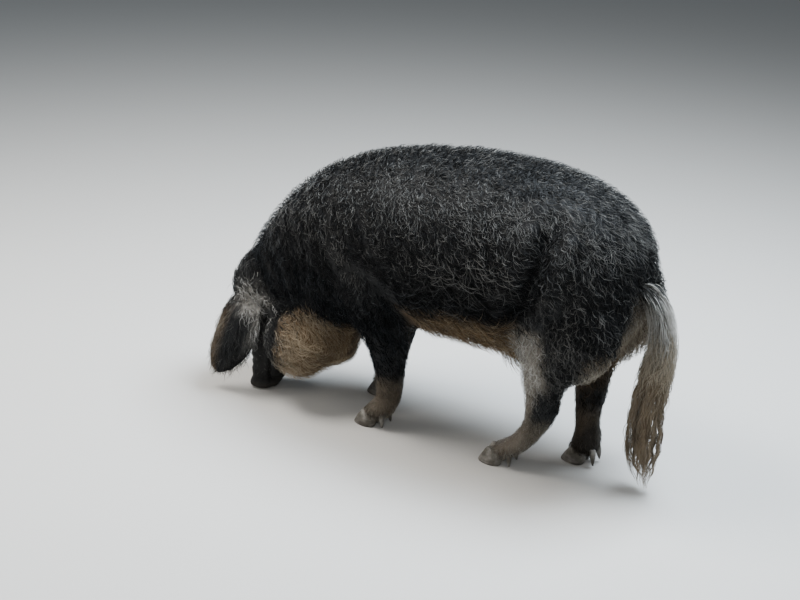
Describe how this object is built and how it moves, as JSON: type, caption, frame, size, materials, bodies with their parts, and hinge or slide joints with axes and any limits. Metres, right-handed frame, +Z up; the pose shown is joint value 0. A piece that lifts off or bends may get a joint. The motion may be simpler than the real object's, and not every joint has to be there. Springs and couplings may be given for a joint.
{
  "type": "mangalica pig",
  "caption": "Life-size curly-coated pig standing with its snout on the ground, body parted into head, neck, trunk, legs, ears, eyes, claws and tail.",
  "frame": {"origin": "on the floor under the middle of the bounding box", "axes": "+X runs from the head to the tail, +Y from the pig's left side to its right side, +Z up"},
  "size_m": [1.3356, 0.4706, 0.8319],
  "materials": {
    "black_coat": "curly black hair over the skin, pale tan on the jowls, throat, belly and backs of the thighs",
    "leg_coat": "short dusty grey-brown hair",
    "tail_hair": "long straight hair, white at the root and brown at the tip",
    "horn": "worn grey horn",
    "eye": "wet dark brown"
  },
  "bodies": {
    "root": {"trunk": "black_coat", "neck": "black_coat", "head": "black_coat", "ear_left": "black_coat", "ear_right": "black_coat", "eye_left": "eye", "eye_right": "eye", "front_left_upper": "black_coat", "front_right_upper": "black_coat", "hind_left_upper": "black_coat", "hind_right_upper": "black_coat", "front_left_lower": "leg_coat", "front_right_lower": "leg_coat", "hind_left_lower": "leg_coat", "hind_right_lower": "leg_coat", "front_left_claw_outer": "horn", "front_left_claw_inner": "horn", "front_left_dewclaw_outer": "horn", "front_left_dewclaw_inner": "horn", "front_right_claw_outer": "horn", "front_right_claw_inner": "horn", "front_right_dewclaw_outer": "horn", "front_right_dewclaw_inner": "horn", "hind_left_claw_outer": "horn", "hind_left_claw_inner": "horn", "hind_left_dewclaw_outer": "horn", "hind_left_dewclaw_inner": "horn", "hind_right_claw_outer": "horn", "hind_right_claw_inner": "horn", "hind_right_dewclaw_outer": "horn", "hind_right_dewclaw_inner": "horn", "tail": "tail_hair", "tail_switch": "tail_hair"}
  },
  "joints": []
}
